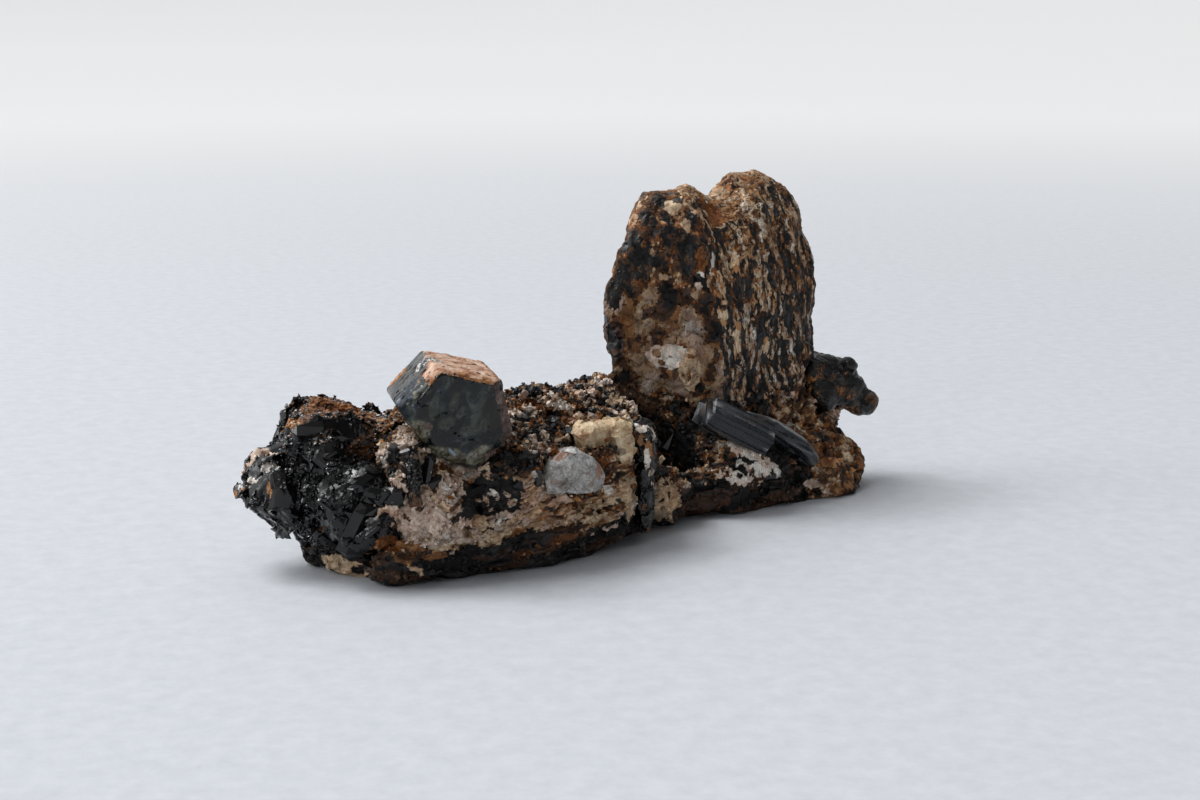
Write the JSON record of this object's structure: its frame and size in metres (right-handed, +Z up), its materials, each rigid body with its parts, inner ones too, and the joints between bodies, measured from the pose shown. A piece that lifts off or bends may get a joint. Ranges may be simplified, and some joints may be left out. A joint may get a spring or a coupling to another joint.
{
  "type": "aquamarine specimen",
  "caption": "Mineral specimen: blue-grey aquamarine crystal on a rusty brown rock with a tall standing slab, black tourmaline, feldspar and quartz.",
  "frame": {"origin": "centre of the bounding box on the resting plane", "axes": "+X along the specimen's length towards the end with the standing slab, -Y towards the front that shows the aquamarine's end face, +Z up"},
  "size_m": [0.0772, 0.0321, 0.0349],
  "materials": {
    "rock": "rough broken rock, streaked black, cream and rust",
    "aquamarine": "cloudy blue-grey crystal, glossy faces",
    "black_tourmaline": "glossy black",
    "crusted_tourmaline": "glossy black with a pale feldspar crust",
    "dark_knobs": "dull brown-black",
    "feldspar": "matte cream",
    "quartz": "satin grey-white"
  },
  "bodies": {
    "root": {"matrix": "rock", "aquamarine": "aquamarine", "schorl_mass": "black_tourmaline", "end_crystal": "crusted_tourmaline", "schorl_prism": "black_tourmaline", "schorl_blade": "black_tourmaline", "schorl_plate": "black_tourmaline", "schorl_needle": "black_tourmaline", "knob_cluster": "dark_knobs", "feldspar_crystal": "feldspar", "quartz_crystal": "quartz"}
  },
  "joints": []
}
